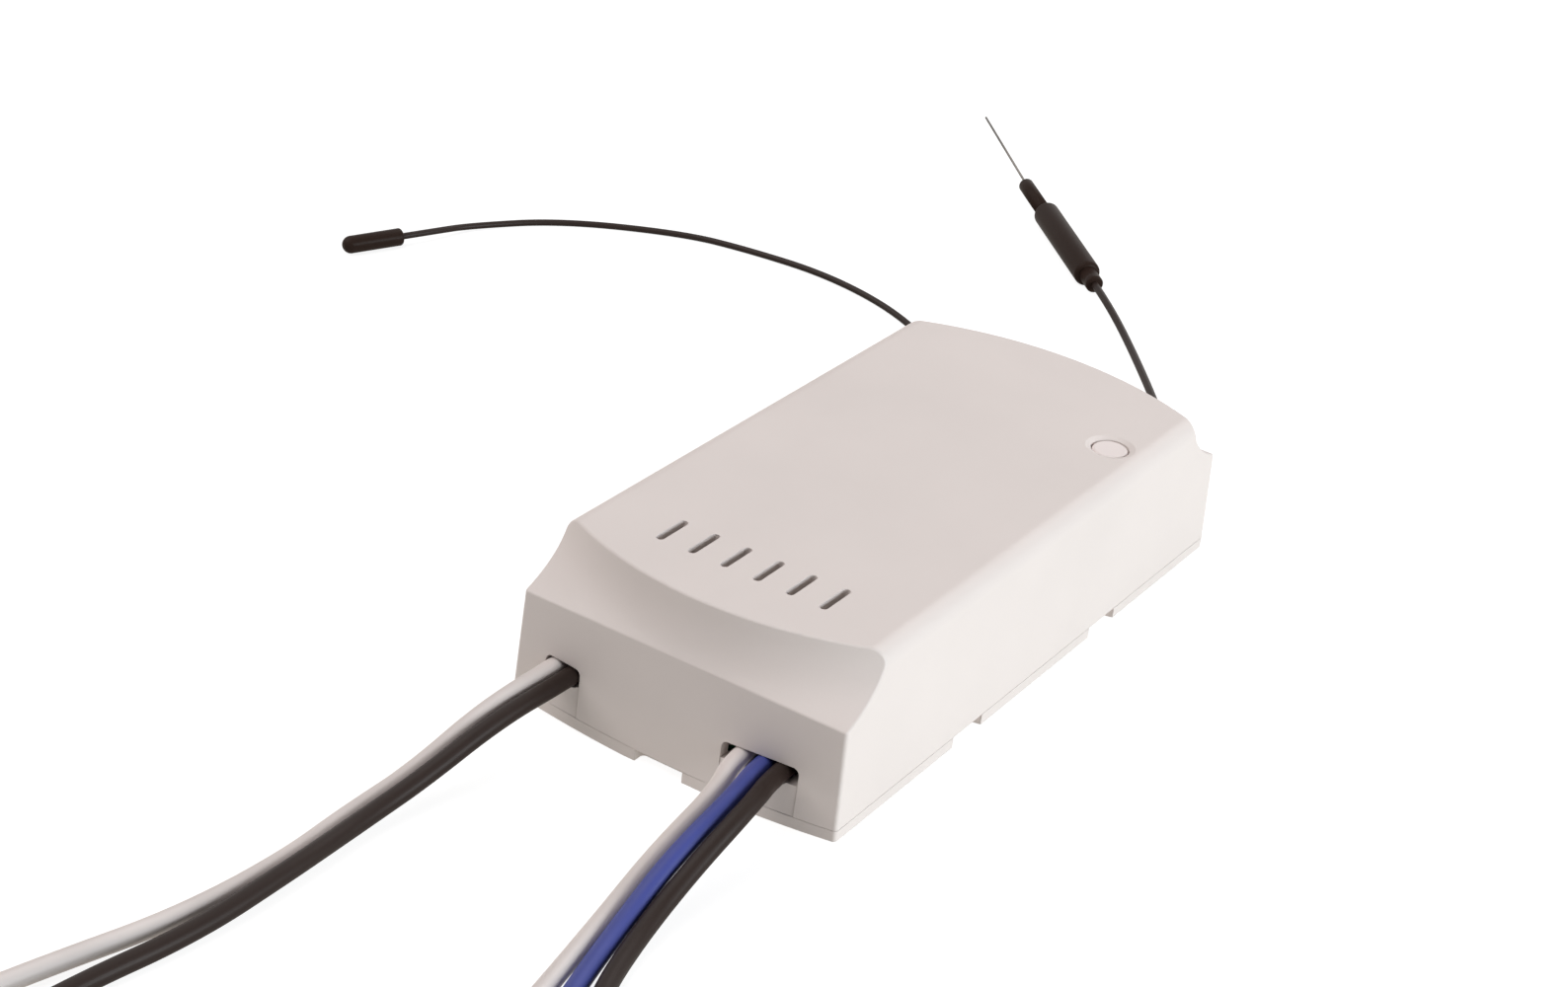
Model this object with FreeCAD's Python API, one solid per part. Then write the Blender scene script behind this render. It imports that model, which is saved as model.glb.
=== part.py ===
"""Ceiling fan controller: a moulded case with mains leads at one end, two
antennas at the other, a button in its top and a relay board inside.

Millimetres. The case stands on its underside, the origin is the middle of that
face, +Y runs from the lead end to the antenna end and +Z points up.
"""
import FreeCAD, Part
import math
import os

V = FreeCAD.Vector
UP = V(0, 0, 1)
ALONG_Y = V(0, 1, 0)

# Case outside. Widths and lengths are those at the parting line.
case_width = 57.7
case_length = 116.0
cover_height = 25.0            # parting line at the long sides up to the flat top
wall_draft = 2.0               # degrees that the four walls lean in
parting_bow = 1.95             # sag of the parting line at the middle of each end
underside_radius = 192.0       # of the bow across the underside
rim_height = 1.77              # base rim below the parting line, at the long sides
foot_width = 16.0              # flat strip along the middle of the bowed underside
shoulder_height = 15.9         # parting line up to the top edge of each end wall
scoop_middle = 2.5             # how far the end scoop cuts into the top, middle
scoop_side = 10.1              # and at the long sides
scoop_bend_back = 0.91         # share of that run where the scoop's end tangents meet
scoop_bend_up = 0.625          # and share of its rise, down from the flat top
top_round = 2.7
corner_round = 0.6
edge_round = 0.4               # edges of the end scoops
cover_wall = 2.0
parting_gap = 0.05

# Base inside
lip_clearance = 0.2
lip_wall = 1.2
lip_height = 2.4               # above the parting line at the sides
end_notch_depth = 2.2
end_notch_width = 8.45
end_notch_x = -1.78
side_notch_depth = 1.6
side_notch_width = 8.5
side_notch_from_end = 36.65

# Snap hooks of the base and the pockets for them in the cover
hook_width = 7.0
hook_height = 9.0              # above the parting line at the sides
hook_slit = 0.7
nose_reach = 0.9
nose_height = 2.4
nose_drop = 0.6                # from the hook's top down to its nose
pocket_clearance = 0.3

# Openings for leads and antennas
lead_diameter = 2.9
lead_height = 6.4              # lead centre above the bowed parting line under it
lead_gap_above = 0.2
lead_gap_round = 0.35          # round a lead in its groove
lead_slot_round = 1.0
tongue_drop = 1.2              # from the leads' centres down to a tongue's top
tongue_setback = 0.1           # behind the end wall's face
supply_slot_from_side = 8.7
supply_slot_width = 6.3
supply_pitch = 3.1
load_slot_from_side = 13.84
load_slot_width = 13.2
load_lead_places = (-3.8, 0.2, 3.3)  # from the load opening's middle
antenna_height = 4.4           # antenna wire centre above the parting line
antenna_slot_width = 3.4
antenna_slot_height = 2.8
antenna_slot_round = 0.9
whip_from_side = 10.85
coax_from_side = 11.85
tongue_clearance = 0.06

# Vents
vent_count = 6
vent_pitch = 5.74
vent_width = 1.35
vent_length = 7.25
vent_from_end = 16.75
vents_x = 0.26

# Button
button_from_side = 7.55
button_from_end = 27.65
button_diameter = 5.9
button_clearance = 0.2
button_travel = 0.35
button_sunk = 0.35             # its top below the case's top
button_edge_round = 0.45
dish_diameter = 8.1
dish_depth = 0.9
flange_diameter = 8.4
flange_thickness = 1.0
flange_gap = 0.25
socket_diameter = 4.6
socket_depth = 2.4

# Switch under the button
switch_side = 6.0
switch_height = 3.5
switch_cavity = 2.2
plunger_diameter = 3.0
plunger_clearance = 0.15
plunger_fit = 0.05             # in the cap's socket
dome_diameter = 4.0
dome_thickness = 0.2
dome_gap = 0.05                # left over the dome with the button down

# Board
board_height = 4.8             # underside above the surface that the case stands on
board_thickness = 1.6
board_clearance = 0.5
boss_diameter = 6.0
screw_from_side = 3.45         # from the board's edges
front_screw_margin = 12.1
back_screw_margin = 8.1
screw_diameter = 2.0
screw_length = 4.0
screw_head_diameter = 4.4
screw_head_height = 1.5
screw_head_round = 0.4
screw_slot_width = 0.6
screw_slot_depth = 0.7
pilot_clearance = 0.08
board_hole_clearance = 0.3
rest_count = 3
rest_margin = 6.1              # from the board's ends to the first and the last rest
rest_width = 10.0
rest_thickness = 1.4

# Parts on the board. Each margin is from the board's side, then from its end, to
# the part's middle. The group that it stands in says which side and end.
relay_width = 10.2
relay_length = 18.4
relay_height = 15.3
relay_gap = 1.2
speed_capacitor_width = 9.0
speed_capacitor_length = 22.0
speed_capacitor_height = 18.0
speed_capacitor_gap = 1.5
line_capacitor_size = (13.0, 5.0, 11.0)
core_width = 10.4
core_length = 6.4
core_height = 11.0
core_limb = 2.2
winding_length = 12.0
winding_round = 2.0
winding_clearance = 0.15
bulk_diameter = 8.0
bulk_height = 15.0
output_diameter = 6.3
output_height = 11.0
can_groove = 0.4
can_groove_height = 1.4
fuse_diameter = 8.5
fuse_height = 8.0
varistor_diameter = 9.6
varistor_thickness = 4.4
varistor_lift = 1.2
varistor_leg = 0.7
varistor_leg_pitch = 5.0
bridge_size = (8.5, 6.5, 3.2)
choke_diameter = 8.0
choke_height = 9.0
choke_flange = 1.2
choke_post = 3.6
choke_winding_diameter = 7.0
driver_size = (6.2, 5.0, 1.6)
buzzer_diameter = 9.0
buzzer_height = 5.5
buzzer_hole = 1.6
buzzer_hole_depth = 1.2
module_side = 16.0
module_thickness = 0.8
shield_size = (10.6, 13.0, 2.3)
radio_thickness = 1.0
radio_length = 24.0
radio_height = 10.0
crystal_size = (3.6, 10.5, 4.4)
crystal_lift = 3.0

# Left and front
fuse_margins = (5.45, 20.0)
bulk_margins = (5.45, 30.0)
output_margins = (5.45, 38.5)
driver_margins = (5.45, 45.5)
line_capacitor_margins = (8.0, 58.0)
buzzer_margins = (15.2, 10.5)
bridge_margins = (15.2, 19.5)
varistor_margins = (15.2, 26.0)
transformer_margins = (15.2, 35.5)
choke_margins = (15.2, 46.3)

# Left and back
radio_margins = (10.95, 22.1)

# Right and back
relay_bank_margins = (11.95, 61.9)
speed_capacitors_margins = (18.25, 30.6)
module_margins = (14.15, 10.1)
shield_margins = (15.75, 10.1)
part_round = 0.5

# Where leads and antennas end on the board
lead_end_margin = 5.1          # from the board's front edge
whip_end_margin = 5.1          # from the board's back edge
coax_end_margin = 3.6
tab_width = 2.0
tab_thickness = 0.8
tab_proud = 1.2
plug_side = 3.0
plug_thickness = 2.0

# Leads and antennas outside
tip_diameter = 1.3
tip_length = 8.0
whip_diameter = 1.3
whip_cap_diameter = 3.5
whip_cap_length = 13.05
whip_cap_round = 1.3
coax_diameter = 1.4
ferrule_diameter = 3.6
ferrule_length = 5.0
ferrule_round = 0.3
sleeve_diameter = 5.0
sleeve_length = 32.8
sleeve_shoulder = 1.0
neck_diameter = 2.8
neck_length = 15.4
neck_bore = 1.2
element_diameter = 0.5
element_length = 43.9
element_seat = 6.0             # depth of the neck's bore, which holds the element
element_gap = 0.1              # from the bore's end to the element
lift = 0.05                    # a tube's underside above the surface that it lies on
arc_share = 0.45               # of the shorter run beside a corner, taken by its arc

# Worked out from the case
half_width = case_width / 2
half_length = case_length / 2
parting_radius = (half_width ** 2 + parting_bow ** 2) / (2 * parting_bow)
underside_axis_z = math.sqrt(underside_radius ** 2 - (foot_width / 2) ** 2)
parting_z = underside_axis_z - math.sqrt(underside_radius ** 2 - half_width ** 2) + rim_height
parting_axis_z = parting_z + math.sqrt(parting_radius ** 2 - half_width ** 2)
case_top = parting_z + cover_height
ceiling = case_top - cover_wall
shoulder_z = parting_z + shoulder_height
lip_inset = cover_wall + lip_clearance
lip_inside = lip_inset + lip_wall
antenna_z = parting_z + antenna_height
lead_slot_top = lead_height + lead_diameter / 2 + lead_gap_above
lead_slot_foot = lead_height - tongue_drop
antenna_slot_top = antenna_z + antenna_slot_height / 2
antenna_slot_foot = antenna_z - antenna_slot_height / 2
side_notch_y = half_length - side_notch_from_end
supply_slot_x = -(half_width - supply_slot_from_side)
load_slot_x = half_width - load_slot_from_side
whip_x = -(half_width - whip_from_side)
coax_x = half_width - coax_from_side
vent_y = -(half_length - vent_from_end)
button_x = half_width - button_from_side
button_y = half_length - button_from_end
floor_z = 0.0
reach = case_length            # long enough to cut right through the case
margin = 3.0                   # a cutter's stand-off outside the case

# Worked out from the board
board_top = board_height + board_thickness
board_side = half_width - lip_inside - board_clearance
board_end = half_length - lip_inside - board_clearance
screw_x = board_side - screw_from_side
front_screw_y = front_screw_margin - board_end
back_screw_y = board_end - back_screw_margin
rest_spacing = 2 * (board_end - rest_margin) / (rest_count - 1)
lead_end_y = lead_end_margin - board_end
whip_end_y = board_end - whip_end_margin
coax_end_y = board_end - coax_end_margin


def parting_at(x):
    """Height of the bowed parting line at a place across the case."""
    return parting_axis_z - math.sqrt(parting_radius ** 2 - x ** 2)


# Routes. The first two points of each follow its opening, the rest are chosen.
supply_xs = [supply_slot_x + supply_pitch * (i - 0.5) for i in range(2)]
load_xs = [load_slot_x + place for place in load_lead_places]
supply_zs = [parting_at(x) + lead_height for x in supply_xs]
load_zs = [parting_at(x) + lead_height for x in load_xs]
lead_floor = floor_z + lead_diameter / 2 + lift
whip_floor = floor_z + whip_diameter / 2 + lift
whip_cap_floor = floor_z + whip_cap_diameter / 2 + lift
coax_floor = floor_z + coax_diameter / 2 + lift
sleeve_floor = floor_z + sleeve_diameter / 2 + lift
inside_run = 9.5               # a lead's first run, from its tab out to the wall's face

routes = {
    "neutral_lead": [
        (supply_xs[0], lead_end_y, supply_zs[0]),
        (supply_xs[0], lead_end_y - inside_run, supply_zs[0]),
        (-23.2, -73.0, 7.3),
        (-25.4, -86.5, 2.9),
        (-27.1, -98.0, lead_floor),
        (-25.9, -113.0, lead_floor),
        (-27.8, -131.0, lead_floor),
        (-33.0, -148.5, lead_floor),
        (-37.5, -166.0, lead_floor),
        (-38.5, -183.0, lead_floor),
    ],
    "line_lead": [
        (supply_xs[1], lead_end_y, supply_zs[1]),
        (supply_xs[1], lead_end_y - inside_run, supply_zs[1]),
        (-19.9, -73.5, 7.9),
        (-22.1, -87.0, 3.5),
        (-23.7, -98.5, lead_floor),
        (-22.7, -113.5, lead_floor),
        (-24.0, -131.5, lead_floor),
        (-27.5, -149.5, lead_floor),
        (-29.0, -167.0, lead_floor),
        (-26.5, -184.0, lead_floor),
    ],
    "load_neutral_lead": [
        (load_xs[0], lead_end_y, load_zs[0]),
        (load_xs[0], lead_end_y - inside_run, load_zs[0]),
        (14.3, -68.0, 8.4),
        (14.4, -80.5, 4.8),
        (14.0, -93.0, lead_floor),
        (17.2, -108.5, lead_floor),
        (20.5, -126.5, lead_floor),
        (22.0, -145.5, lead_floor),
        (19.0, -164.0, lead_floor),
        (14.0, -181.8, lead_floor),
    ],
    "light_lead": [
        (load_xs[1], lead_end_y, load_zs[1]),
        (load_xs[1], lead_end_y - inside_run, load_zs[1]),
        (17.3, -69.0, 9.6),
        (17.2, -81.5, 6.2),
        (17.0, -93.5, 2.9),
        (20.7, -107.5, lead_floor),
        (25.7, -124.5, lead_floor),
        (29.7, -143.5, lead_floor),
        (30.2, -163.0, lead_floor),
        (27.5, -181.7, lead_floor),
    ],
    "fan_lead": [
        (load_xs[2], lead_end_y, load_zs[2]),
        (load_xs[2], lead_end_y - inside_run, load_zs[2]),
        (20.2, -68.5, 8.3),
        (20.0, -81.0, 4.7),
        (20.1, -93.5, lead_floor),
        (24.2, -107.5, lead_floor),
        (31.0, -123.0, lead_floor),
        (38.5, -140.5, lead_floor),
        (43.0, -159.5, lead_floor),
        (44.0, -178.5, lead_floor),
    ],
    "whip_wire": [
        (whip_x, whip_end_y, antenna_z),
        (whip_x, whip_end_y + 11.0, antenna_z),
        (-20.5, 73.0, 4.4),
        (-28.5, 86.0, whip_floor),
        (-43.0, 95.5, whip_floor),
        (-60.0, 102.3, whip_floor),
        (-78.5, 108.4, whip_floor),
        (-97.5, 108.9, whip_floor),
        (-114.5, 101.8, whip_floor),
        (-130.0, 92.5, whip_floor),
        (-142.5, 76.3, whip_floor),
        (-145.27, 64.63, whip_cap_floor),
        (-148.02, 58.08, whip_cap_floor),
    ],
    "wifi_coax": [
        (coax_x, coax_end_y, antenna_z),
        (coax_x, coax_end_y + 10.5, antenna_z),
        (15.5, 73.5, 4.6),
        (11.0, 86.5, coax_floor),
        (2.3, 98.3, coax_floor),
        (-9.0, 111.7, coax_floor),
        (-21.6, 126.2, coax_floor),
        (-30.33, 134.03, sleeve_floor),
        (-35.25, 139.01, sleeve_floor),
    ],
}


def block(x, y, z):
    """Box between the low and high ends given for each axis."""
    corner = V(x[0], y[0], z[0])
    return Part.makeBox(x[1] - x[0], y[1] - y[0], z[1] - z[0], corner)


def standing_box(place, size, z):
    """Box of a width, length and height, centred on a place and standing at z."""
    x, y = place
    width, length, height = size
    return block((x - width / 2, x + width / 2), (y - length / 2, y + length / 2), (z, z + height))


def front_left(margins):
    """Place on the board at margins from its left side and front end."""
    return margins[0] - board_side, margins[1] - board_end


def back_left(margins):
    return margins[0] - board_side, board_end - margins[1]


def back_right(margins):
    return board_side - margins[0], board_end - margins[1]


def standing_cylinder(place, diameter, height, z):
    return Part.makeCylinder(diameter / 2, height, V(place[0], place[1], z), UP)


def is_upright(edge):
    box = edge.BoundBox
    return box.ZLength > box.XLength + box.YLength


def round_uprights(solid, radius):
    return solid.makeFillet(radius, [edge for edge in solid.Edges if is_upright(edge)])


def round_top(solid, radius):
    """Rounds every edge that lies in the solid's top plane."""
    top = solid.BoundBox.ZMax
    edges = [edge for edge in solid.Edges if edge.BoundBox.ZMin > top - radius / 10]
    return solid.makeFillet(radius, edges)


def tapered_block(inset, low, high):
    """Block inside the case's four leaning walls, set in by inset, from low to high."""
    loops = []
    for z in (low, high):
        lean = (z - parting_z) * math.tan(math.radians(wall_draft))
        x = half_width - inset - lean
        y = half_length - inset - lean
        corners = [V(-x, -y, z), V(x, -y, z), V(x, y, z), V(-x, y, z)]
        loops.append(Part.makePolygon(corners + [corners[0]]))
    return Part.makeLoft(loops, True, True)


def bow_cylinder(radius, axis_z):
    """Cylinder along Y that the parting line or the underside follows."""
    return Part.makeCylinder(radius, 2 * reach, V(0, -reach, axis_z), ALONG_Y)


def leaning_block(x, y, low, top, slope):
    """Box from low up to a top that is at the height top in its middle and climbs along x."""
    rise = slope * (x[1] - x[0]) / 2
    corners = [V(x[0], y[0], low), V(x[1], y[0], low), V(x[1], y[0], top + rise), V(x[0], y[0], top - rise)]
    return Part.Face(Part.makePolygon(corners + [corners[0]])).extrude(V(0, y[1] - y[0], 0))


def scoop(end, wall):
    """Cutter for the scoop over one end wall, grown by wall.

    At each station across the case its section is a parabola from the end of the
    flat top, which is an arc in plan, down to the end wall's top edge. It leaves
    the top steeply and comes out at the wall nearly level: scoop_bend_back and
    scoop_bend_up place the point where the tangents at its two ends meet.
    """
    rise = case_top - shoulder_z
    lean = shoulder_height * math.tan(math.radians(wall_draft))
    wall_y = half_length - lean
    plan_sag = scoop_side - scoop_middle
    plan_radius = (half_width ** 2 + plan_sag ** 2) / (2 * plan_sag)
    station_x = half_width + margin
    sections = []
    for share in (-1.0, -0.5, 0.0, 0.5, 1.0):
        x = share * station_x
        run = scoop_middle + plan_radius - math.sqrt(plan_radius ** 2 - x ** 2)
        a = run + wall
        b = rise + wall
        top_edge = V(x, end * (wall_y - a), case_top)
        wall_edge = V(x, end * wall_y, case_top - b)
        curve = Part.BezierCurve()
        curve.setPoles([
            top_edge,
            V(x, end * (wall_y - a * scoop_bend_back), case_top - b * scoop_bend_up),
            wall_edge,
        ])
        outside = end * (wall_y + margin)
        corners = [
            wall_edge,
            V(x, outside, case_top - b),
            V(x, outside, case_top + margin),
            V(x, end * (wall_y - a), case_top + margin),
            top_edge,
        ]
        sides = [Part.LineSegment(p, q).toShape() for p, q in zip(corners, corners[1:])]
        sections.append(Part.Wire([curve.toShape()] + sides))
    return Part.makeLoft(sections, True, False)


def slot_cutter(x, width, top, low, slope, end, corner):
    """Upright slot through an end wall, open below, with rounded top corners."""
    y_in = half_length - lip_inside - margin
    y_out = half_length + margin
    y = (y_in, y_out) if end > 0 else (-y_out, -y_in)
    solid = leaning_block((x - width / 2, x + width / 2), y, low, top, slope)
    edges = [
        edge for edge in solid.Edges
        if edge.BoundBox.YLength > 1 and edge.BoundBox.ZMin > (low + top) / 2
    ]
    return solid.makeFillet(corner, edges)


def openings():
    """Centre, width, top, foot, slope, end and corner radius of each opening in the end walls.

    The leads' openings follow the parting line under them, so their tops slope as it does.
    """
    found = []
    for x, width in ((supply_slot_x, supply_slot_width), (load_slot_x, load_slot_width)):
        line = parting_at(x)
        slope = x / math.sqrt(parting_radius ** 2 - x ** 2)
        found.append((x, width, line + lead_slot_top, line + lead_slot_foot, slope, -1, lead_slot_round))
    for x in (whip_x, coax_x):
        found.append((x, antenna_slot_width, antenna_slot_top, antenna_slot_foot, 0.0, 1, antenna_slot_round))
    return found


def lead_groove(x, z):
    """Round groove in a tongue's top for a lead to lie in."""
    length = lip_inside + 2 * margin
    return Part.makeCylinder(
        lead_diameter / 2 + lead_gap_round, length, V(x, -half_length - margin, z), ALONG_Y)


def vent_cutter(x):
    """Round-ended slot through the flat top."""
    straight = vent_length - vent_width
    z = (ceiling - margin, case_top + margin)
    y_low = vent_y - straight / 2
    y_high = vent_y + straight / 2
    cutter = block((x - vent_width / 2, x + vent_width / 2), (y_low, y_high), z)
    for y in (y_low, y_high):
        cutter = cutter.fuse(standing_cylinder((x, y), vent_width, z[1] - z[0], z[0]))
    return cutter.removeSplitter()


def hook_places():
    """Side of the case and place along it of each snap hook."""
    return [(side, y) for side in (-1, 1) for y in (-side_notch_y, side_notch_y)]


def nose(side, y, width, grow):
    """Wedge that stands out of a hook's outer face, grown by grow for its pocket."""
    top = parting_z + hook_height - nose_drop
    lean = (top - parting_z) * math.tan(math.radians(wall_draft))
    face = half_width - lip_inset - lean
    root = face - lip_wall / 2
    tip = face + nose_reach + min(grow, lip_clearance)
    points = [
        V(side * root, y - width / 2, top + grow),
        V(side * (tip - nose_reach / 2), y - width / 2, top + grow),
        V(side * tip, y - width / 2, top - nose_height + nose_reach),
        V(side * tip, y - width / 2, top - nose_height - grow),
        V(side * root, y - width / 2, top - nose_height - grow),
    ]
    return Part.Face(Part.makePolygon(points + [points[0]])).extrude(V(0, width, 0))


def scoop_edges(solid):
    """Edges round both end scoops, along the flat top, the sides and the end walls."""
    edges = []
    for edge in solid.Edges:
        box = edge.BoundBox
        towards_an_end = max(box.YMin, -box.YMax) > half_length - scoop_side - margin
        if towards_an_end and box.ZMin > shoulder_z - corner_round:
            edges.append(edge)
    return edges


def button_cutter():
    """Hole for the button and the dish round it."""
    place = (button_x, button_y)
    hole = standing_cylinder(place, button_diameter + 2 * button_clearance, 2 * margin, case_top - margin)
    radius = ((dish_diameter / 2) ** 2 + dish_depth ** 2) / (2 * dish_depth)
    dish = Part.makeSphere(radius, V(button_x, button_y, case_top + radius - dish_depth))
    return hole.fuse(dish)


def make_cover():
    outer = tapered_block(0, -margin, case_top)
    long_edges = [
        edge for edge in outer.Edges
        if edge.BoundBox.ZMin > case_top - 0.01 and edge.BoundBox.YLength > half_length
    ]
    outer = outer.makeFillet(top_round, long_edges)
    inner = tapered_block(cover_wall, -2 * margin, ceiling)
    for end in (-1, 1):
        outer = outer.cut(scoop(end, 0))
        inner = inner.cut(scoop(end, cover_wall))
    outer = round_uprights(outer, corner_round)
    outer = outer.makeFillet(edge_round, scoop_edges(outer))
    shell = outer.cut(inner).common(bow_cylinder(parting_radius - parting_gap, parting_axis_z))
    for x, width, top, foot, slope, end, corner in openings():
        shell = shell.cut(slot_cutter(x, width, top, -margin, slope, end, corner))
    for i in range(vent_count):
        shell = shell.cut(vent_cutter(vents_x + vent_pitch * (i - (vent_count - 1) / 2)))
    for side, y in hook_places():
        shell = shell.cut(nose(side, y, hook_width + 2 * pocket_clearance, pocket_clearance))
    return shell.cut(button_cutter())


def lip_wall_up_to(inset, top):
    """Ring between the lip's inner face and an outer face set in by inset."""
    return tapered_block(inset, 0, top).cut(tapered_block(lip_inside, -1, top + 1))


def make_base():
    """Bowed plate with a rim, a lip inside the cover, hooks, bosses and tongues."""
    under = bow_cylinder(underside_radius, underside_axis_z)
    slab = block((-half_width, half_width), (-half_length, half_length), (0, parting_z + margin))
    plate = round_uprights(slab, corner_round).common(under).cut(bow_cylinder(parting_radius, parting_axis_z))

    lip_top = parting_z + lip_height
    hook_top = parting_z + hook_height
    lip = lip_wall_up_to(lip_inset, lip_top)
    band = lip_wall_up_to(lip_inset, hook_top)
    for side, y in hook_places():
        x = (side * half_width - 2 * lip_inside, side * half_width + 2 * lip_inside)
        hook_y = (y - hook_width / 2, y + hook_width / 2)
        slit_y = (hook_y[0] - hook_slit, hook_y[1] + hook_slit)
        lip = lip.cut(block(x, slit_y, (parting_z, lip_top + 1)))
        lip = lip.fuse(band.common(block(x, hook_y, (0, hook_top))))
        lip = lip.fuse(nose(side, y, hook_width, 0))
    base = plate.fuse(lip.common(under))

    for x, width, top, foot, slope, end, corner in openings():
        tongue_x = (x - width / 2 + tongue_clearance, x + width / 2 - tongue_clearance)
        low = block(tongue_x, (-half_length, half_length), (0, parting_z))
        high = leaning_block(tongue_x, (-reach, reach), parting_z, foot, slope)
        near = block(tongue_x, sorted((end * half_length / 2, end * reach)), (0, case_top))
        tongue = lip_wall_up_to(tongue_setback, foot + margin).common(low.fuse(high)).common(near)
        base = base.fuse(tongue.common(under))
    for x, z in zip(supply_xs + load_xs, supply_zs + load_zs):
        base = base.cut(lead_groove(x, z))

    for x in (-screw_x, screw_x):
        for y in (front_screw_y, back_screw_y):
            base = base.fuse(standing_cylinder((x, y), boss_diameter, board_height, 0).common(under))
    for i in range(rest_count):
        y = rest_spacing * (i - (rest_count - 1) / 2)
        base = base.fuse(standing_box((0, y), (rest_width, rest_thickness, board_height), 0))
    pilot = screw_diameter + 2 * pilot_clearance
    depth = screw_length - board_thickness + pilot_clearance
    for x in (-screw_x, screw_x):
        for y in (front_screw_y, back_screw_y):
            base = base.cut(standing_cylinder((x, y), pilot, depth + margin, board_height - depth))

    low = -1.0
    end_x = (end_notch_x - end_notch_width / 2, end_notch_x + end_notch_width / 2)
    for end in (-1, 1):
        y = sorted((end * (half_length - end_notch_depth), end * (half_length + margin)))
        base = base.cut(round_uprights(block(end_x, y, (low, parting_z)), end_notch_depth / 3))
    for side, y in hook_places():
        x = sorted((side * (half_width - side_notch_depth), side * (half_width + margin)))
        along = (y - side_notch_width / 2, y + side_notch_width / 2)
        base = base.cut(round_uprights(block(x, along, (low, parting_z + margin / 3)), side_notch_depth / 3))
    return base.removeSplitter()


def make_main_board():
    size = (2 * board_side, 2 * board_end, board_thickness)
    board = round_uprights(standing_box((0, 0), size, board_height), 2 * part_round)
    for x in (-screw_x, screw_x):
        for y in (front_screw_y, back_screw_y):
            hole = screw_diameter + 2 * board_hole_clearance
            drill = standing_cylinder((x, y), hole, 4 * board_thickness, board_height - board_thickness)
            board = board.cut(drill)
    return board


def make_board_screws():
    """Four slotted screws, each a separate solid."""
    screws = []
    for x in (-screw_x, screw_x):
        for y in (front_screw_y, back_screw_y):
            head = standing_cylinder((x, y), screw_head_diameter, screw_head_height, board_top)
            head = round_top(head, screw_head_round)
            slot = (screw_head_diameter + 1, screw_slot_width, screw_slot_depth + 1)
            head = head.cut(standing_box((x, y), slot, board_top + screw_head_height - screw_slot_depth))
            shank = standing_cylinder((x, y), screw_diameter, screw_length, board_top - screw_length)
            screws.append(head.fuse(shank))
    return Part.makeCompound(screws)


def plunger_heights():
    """Foot and top of the plunger. Its foot clears the dome by the travel and a little."""
    cavity_floor = board_top + switch_height - switch_cavity
    foot = cavity_floor + dome_thickness + dome_gap + button_travel
    flange_foot = ceiling - flange_gap - flange_thickness
    return foot, flange_foot


def make_switch_body():
    place = (button_x, button_y)
    body = standing_box(place, (switch_side, switch_side, switch_height), board_top)
    body = round_top(round_uprights(body, part_round), part_round / 2)
    bore = plunger_diameter + 2 * plunger_clearance
    wide = dome_diameter + 4 * plunger_clearance
    floor = board_top + switch_height - switch_cavity
    body = body.cut(standing_cylinder(place, bore, switch_height, floor))
    return body.cut(standing_cylinder(place, wide, switch_cavity / 2, floor))


def make_switch_dome():
    floor = board_top + switch_height - switch_cavity
    return standing_cylinder((button_x, button_y), dome_diameter, dome_thickness, floor)


def make_switch_plunger():
    foot, top = plunger_heights()
    return standing_cylinder((button_x, button_y), plunger_diameter, top - foot, foot)


def make_button_cap():
    """Cap with a flange that keeps it in and a socket on the plunger's top."""
    place = (button_x, button_y)
    flange_foot = ceiling - flange_gap - flange_thickness
    cap_top = case_top - button_sunk
    cap = standing_cylinder(place, button_diameter, cap_top - flange_foot, flange_foot)
    cap = round_top(cap, button_edge_round)
    cap = cap.fuse(standing_cylinder(place, flange_diameter, flange_thickness, flange_foot))
    cap = cap.fuse(standing_cylinder(place, socket_diameter, socket_depth, flange_foot - socket_depth))
    bore = plunger_diameter + 2 * plunger_fit
    return cap.cut(standing_cylinder(place, bore, socket_depth, flange_foot - socket_depth))


def make_relay(column, row):
    x, y = back_right(relay_bank_margins)
    x += (column - 0.5) * (relay_width + relay_gap)
    y += (row - 0.5) * (relay_length + relay_gap)
    box = standing_box((x, y), (relay_width, relay_length, relay_height), board_top)
    return round_top(round_uprights(box, part_round), part_round)


def make_speed_capacitor(i):
    x, y = back_right(speed_capacitors_margins)
    x += (i - 0.5) * (speed_capacitor_width + speed_capacitor_gap)
    size = (speed_capacitor_width, speed_capacitor_length, speed_capacitor_height)
    box = standing_box((x, y), size, board_top)
    return round_top(round_uprights(box, 2 * part_round), part_round)


def make_boxed(place, size):
    """Moulded block on the board with rounded upright and top edges."""
    return round_top(round_uprights(standing_box(place, size, board_top), part_round), part_round / 2)


def make_can(place, diameter, height):
    """Electrolytic can: a crimp groove near its foot and a rounded top."""
    can = round_top(standing_cylinder(place, diameter, height, board_top), part_round)
    z = board_top + can_groove_height
    groove = standing_cylinder(place, 2 * diameter, can_groove, z)
    return can.cut(groove.cut(standing_cylinder(place, diameter - 2 * can_groove, can_groove, z)))


def winding_box(grow):
    """Space that the transformer's winding fills between the core's limbs."""
    width = core_width - 2 * core_limb + 2 * grow
    length = winding_length + 2 * grow
    height = core_height - 2 * core_limb + 2 * grow
    place = front_left(transformer_margins)
    box = standing_box(place, (width, length, height), board_top + core_limb - grow)
    return round_uprights(box, winding_round)


def make_transformer_core():
    """Closed rectangular core whose window holds the winding."""
    size = (core_width, core_length, core_height)
    core = standing_box(front_left(transformer_margins), size, board_top)
    return core.cut(winding_box(winding_clearance))


def make_transformer_winding():
    return winding_box(0)


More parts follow.
